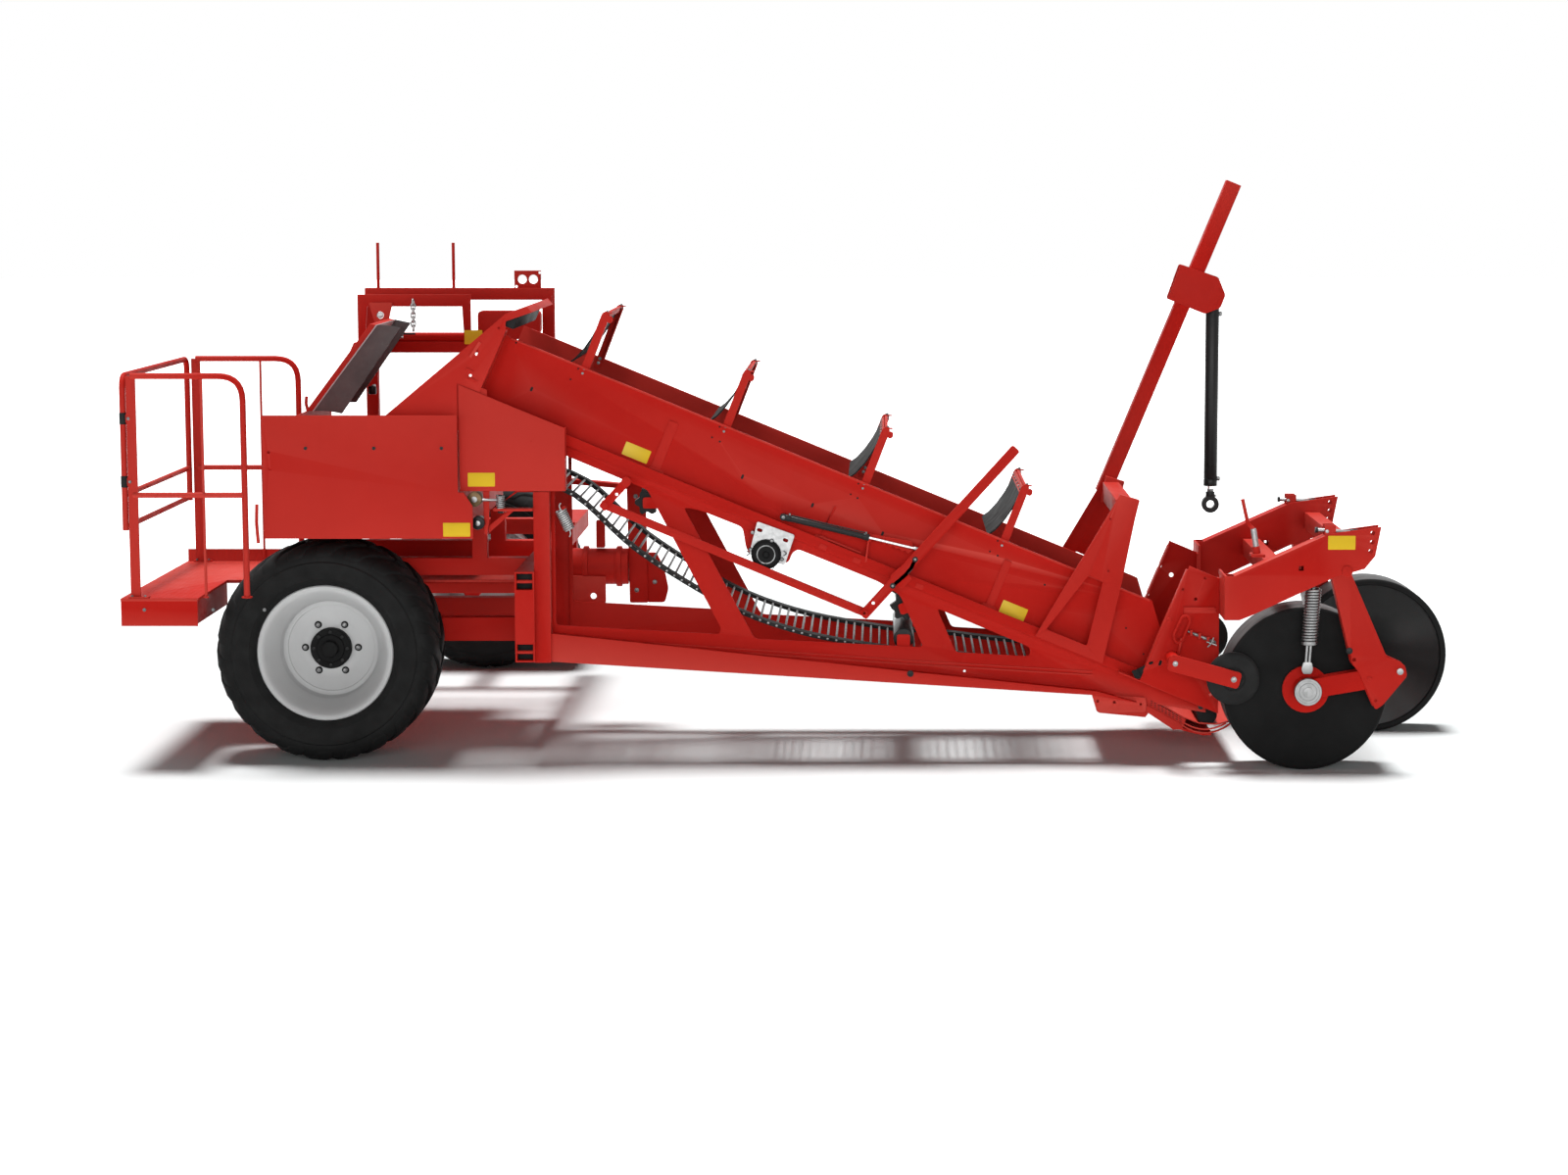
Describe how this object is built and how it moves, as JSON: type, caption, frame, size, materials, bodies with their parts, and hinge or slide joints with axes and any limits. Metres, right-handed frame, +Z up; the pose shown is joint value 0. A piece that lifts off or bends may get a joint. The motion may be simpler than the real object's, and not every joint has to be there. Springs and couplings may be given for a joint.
{
  "type": "potato harvester",
  "caption": "Trailed one-row potato harvester: digging channel with a lifting web, depth and press wheels, rear platform with rails, cross conveyor and road wheels.",
  "frame": {"origin": "on the ground, at the middle of the overall box", "axes": "+X forward, the way it is towed; +Y to the machine's left; +Z up"},
  "size_m": [6.146, 3.64, 2.6477],
  "materials": {
    "paint": "satin red paint",
    "rim": "satin light grey paint",
    "tyre": "matte",
    "wheel_rubber": "matte",
    "wheel_steel": "matte black paint",
    "web": "belts carrying steel rods",
    "black_steel": "satin black paint",
    "chrome": "polished",
    "zinc": "galvanised"
  },
  "bodies": {
    "frame": {"bag_frame": "paint", "bridge_beam": "paint", "corner_cover": "paint", "cross_conveyor": "paint", "cross_frame": "paint", "curtain_holder_1": "paint", "curtain_holder_2": "paint", "curtain_holder_3": "paint", "curtain_holder_4": "paint", "digging_share": "paint", "discharge_hood": "paint", "elevator_arch": "paint", "elevator_trough": "paint", "front_agitator": "black_steel", "front_crossmember": "paint", "left_a_frame": "paint", "left_beams": "paint", "left_front_arm": "paint", "left_guard_rail": "paint", "left_inlet_plate": "paint", "left_side_wall": "paint", "left_truss": "paint", "left_wheel_leg": "paint", "lift_mast": "paint", "lifting_web": "web", "middle_beams": "paint", "rear_agitator": "black_steel", "rear_platform": "paint", "right_a_frame": "paint", "right_beams": "paint", "right_front_arm": "paint", "right_guard_rail": "paint", "right_inlet_plate": "paint", "right_side_wall": "paint", "right_spring_strut": "zinc", "right_truss": "paint", "right_wheel_arm": "paint", "right_wheel_leg": "paint", "side_cover": "paint", "web_drive_roller": "black_steel", "web_front_roller": "black_steel", "web_guide_roller": "black_steel", "web_motor": "black_steel"},
    "right_wheel": {"right_wheel_tyre": "tyre", "right_wheel_rim": "rim"},
    "left_wheel": {"left_wheel_tyre": "tyre", "left_wheel_rim": "rim"},
    "right_depth": {"right_depth_wheel": "wheel_steel"},
    "left_depth": {"left_depth_wheel": "wheel_steel"},
    "right_press": {"right_press_wheel": "wheel_rubber"},
    "left_press": {"left_press_wheel": "wheel_rubber"},
    "lift_cylinder": {"lift_barrel": "black_steel"},
    "lift_piston": {"lift_rod": "chrome"},
    "gate": {"platform_gate": "paint"},
    "lever": {"agitator_lever": "paint"},
    "link": {"agitator_link": "paint"},
    "rear_arm": {"agitator_rear_arm": "paint"},
    "cylinder": {"agitator_barrel": "black_steel"},
    "piston": {"agitator_rod": "chrome"}
  },
  "joints": [
    {"name": "right_wheel_spin", "type": "hinge", "parent": "frame", "child": "right_wheel", "pos_m": [-2.187, -1.335, 0.508], "axis": [0, 1, 0], "continuous": true},
    {"name": "left_wheel_spin", "type": "hinge", "parent": "frame", "child": "left_wheel", "pos_m": [-1.797, 1.58, 0.508], "axis": [0, 1, 0], "continuous": true},
    {"name": "right_depth_wheel_spin", "type": "hinge", "parent": "frame", "child": "right_depth", "pos_m": [2.26, -1.585, 0.371], "axis": [0, 1, 0], "continuous": true},
    {"name": "left_depth_wheel_spin", "type": "hinge", "parent": "frame", "child": "left_depth", "pos_m": [2.702, -0.535, 0.371], "axis": [0, 1, 0], "continuous": true},
    {"name": "right_press_wheel_spin", "type": "hinge", "parent": "frame", "child": "right_press", "pos_m": [1.929, -1.749, 0.424], "axis": [0, 1, 0], "continuous": true},
    {"name": "left_press_wheel_spin", "type": "hinge", "parent": "frame", "child": "left_press", "pos_m": [1.929, -0.3705, 0.424], "axis": [0, 1, 0], "continuous": true},
    {"name": "lift_cylinder_swing", "type": "hinge", "parent": "frame", "child": "lift_cylinder", "pos_m": [1.939, -0.5217, 2.087], "axis": [0, -1, 0], "range_deg": [-1, 6]},
    {"name": "lift_rod_slide", "type": "slide", "parent": "lift_cylinder", "child": "lift_piston", "axis": [0, 0, -1], "range_m": [0, 0.6]},
    {"name": "platform_gate_hinge", "type": "hinge", "parent": "frame", "child": "gate", "pos_m": [-3.047, -1.678, 1.3], "axis": [0, 0, 1], "range_deg": [0, 95]},
    {"name": "agitator_lever_hinge", "type": "hinge", "parent": "frame", "child": "lever", "pos_m": [0.445, -1.586, 0.852], "axis": [0, 1, 0], "range_deg": [-8, 8]},
    {"name": "agitator_link_hinge", "type": "hinge", "parent": "lever", "child": "link", "pos_m": [0.275, -1.57, 0.699], "axis": [0, 1, 0], "range_deg": [-9, 9]},
    {"name": "agitator_rear_arm_hinge", "type": "hinge", "parent": "frame", "child": "rear_arm", "pos_m": [-0.804, -1.586, 1.296], "axis": [0, 1, 0], "range_deg": [-13, 13]},
    {"name": "agitator_barrel_hinge", "type": "hinge", "parent": "frame", "child": "cylinder", "pos_m": [-0.096, -1.555, 1.134], "axis": [0, 1, 0], "range_deg": [-1, 1]},
    {"name": "agitator_rod_slide", "type": "slide", "parent": "cylinder", "child": "piston", "axis": [0.9719, 0, -0.2352], "range_m": [-0.03, 0.03]}
  ],
  "couplings": [
    {"joint": "lift_cylinder_swing", "follows": "lift_rod_slide", "rad_per_m": 0.1454},
    {"joint": "agitator_link_hinge", "follows": "agitator_lever_hinge", "ratio": -1.0175},
    {"joint": "agitator_rear_arm_hinge", "follows": "agitator_lever_hinge", "ratio": 1.524},
    {"joint": "agitator_barrel_hinge", "follows": "agitator_lever_hinge", "ratio": 0.0777},
    {"joint": "agitator_rod_slide", "follows": "agitator_lever_hinge", "m_per_rad": 0.1469}
  ]
}
